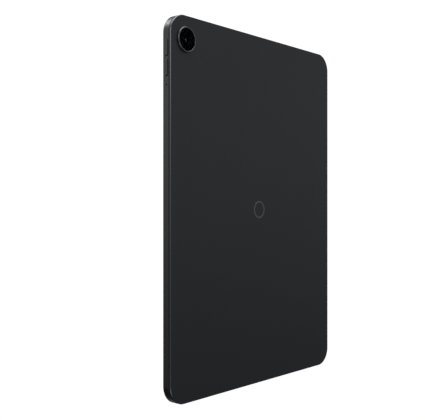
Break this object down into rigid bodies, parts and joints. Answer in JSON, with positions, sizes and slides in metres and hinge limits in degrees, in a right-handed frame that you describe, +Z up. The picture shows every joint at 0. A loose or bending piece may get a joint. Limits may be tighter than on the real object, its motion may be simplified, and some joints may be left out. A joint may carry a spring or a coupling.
{
  "type": "tablet computer",
  "caption": "Thin dark grey metal tablet computer with a full glass front, a round rear camera in one corner, side keys, edge speakers and a bottom port.",
  "frame": {"origin": "middle of the bottom short edge, at half of the body's thickness", "axes": "+X to the right of a person facing the screen (volume keys), -Y out of the screen, +Z up the long side"},
  "size_m": [0.1884, 0.0081, 0.2555],
  "materials": {
    "back_shell": "satin",
    "frame_metal": "satin",
    "seam_seal": "matte",
    "break_plastic": "matte",
    "emblem_silver": "satin",
    "screen_glass": "polished",
    "border_ink": "matte",
    "polariser_film": "gloss",
    "panel_glass": "gloss",
    "backlight_films": "satin",
    "foam_tape": "matte",
    "plate_metal": "satin",
    "key_metal": "satin",
    "spring_steel": "satin",
    "moulded_black": "matte",
    "flex_film": "satin",
    "mic_boot": "matte",
    "tray_metal": "satin",
    "pressed_steel": "satin",
    "contact_gold": "polished",
    "ring_metal": "polished",
    "lens_glass": "polished",
    "lens_coated": "polished",
    "speaker_mesh": "matte",
    "board_mask": "satin",
    "chip_resin": "matte",
    "pad_rubber": "matte",
    "graphite": "satin",
    "pouch_foil": "satin",
    "tape_white": "matte"
  },
  "bodies": {
    "tablet": {"back_cover": "back_shell", "cover_seal": "seam_seal", "side_frame": "frame_metal", "antenna_breaks": "break_plastic", "emblem_ring": "emblem_silver", "cover_glass": "screen_glass", "ink_border": "border_ink", "polariser": "polariser_film", "display_panel": "panel_glass", "backlight_tray": "backlight_films", "display_tape": "foam_tape", "mid_plate": "plate_metal", "volume_up_dome": "spring_steel", "volume_down_dome": "spring_steel", "power_dome": "spring_steel", "switch_bases": "moulded_black", "volume_flex": "flex_film", "power_flex": "flex_film", "microphones": "mic_boot", "card_socket": "pressed_steel", "eject_lever": "pressed_steel", "port_shell": "pressed_steel", "port_tongue": "moulded_black", "port_contacts": "contact_gold", "camera_ring": "ring_metal", "camera_window": "lens_glass", "camera_baffle": "moulded_black", "camera_body": "moulded_black", "camera_sensor": "chip_resin", "camera_flex": "flex_film", "front_camera_body": "moulded_black", "front_camera_lens": "lens_coated", "light_sensor": "chip_resin", "speaker_boxes": "moulded_black", "speaker_drivers": "pressed_steel", "speaker_meshes": "speaker_mesh", "main_board": "board_mask", "processor": "chip_resin", "small_chips": "chip_resin", "processor_can": "pressed_steel", "power_can": "pressed_steel", "thermal_pad": "pad_rubber", "graphite_sheet": "graphite", "sub_board": "board_mask", "board_plugs": "moulded_black", "chassis_screws": "pressed_steel", "battery_cell_left": "pouch_foil", "battery_cell_right": "pouch_foil", "battery_tapes": "tape_white", "battery_board": "board_mask", "battery_flex": "flex_film", "link_flex": "flex_film", "display_flex": "flex_film", "antenna_carriers": "moulded_black"},
    "volume_up_button": {"volume_up_key": "key_metal"},
    "volume_down_button": {"volume_down_key": "key_metal"},
    "power_button": {"power_key": "key_metal"},
    "sliding_tray": {"card_tray": "tray_metal"},
    "focus_group": {"lens_barrel": "moulded_black", "front_lens": "lens_coated"}
  },
  "joints": [
    {"name": "volume_up_press", "type": "slide", "parent": "tablet", "child": "volume_up_button", "axis": [-1, 0, 0], "range_m": [0, 0.00025], "stiffness_N_per_m": 6000, "springref_m": -0.00008, "deforming": ["volume_up_dome"]},
    {"name": "volume_down_press", "type": "slide", "parent": "tablet", "child": "volume_down_button", "axis": [-1, 0, 0], "range_m": [0, 0.00025], "stiffness_N_per_m": 6000, "springref_m": -0.00008, "deforming": ["volume_down_dome"]},
    {"name": "power_press", "type": "slide", "parent": "tablet", "child": "power_button", "axis": [0, 0, -1], "range_m": [0, 0.00025], "stiffness_N_per_m": 6000, "springref_m": -0.00008, "deforming": ["power_dome"]},
    {"name": "card_tray_slide", "type": "slide", "parent": "tablet", "child": "sliding_tray", "axis": [-1, 0, 0], "range_m": [0, 0.02]},
    {"name": "camera_focus", "type": "slide", "parent": "tablet", "child": "focus_group", "axis": [0, 1, 0], "range_m": [0, 0.00025], "stiffness_N_per_m": 200, "springref_m": -0.00005}
  ]
}
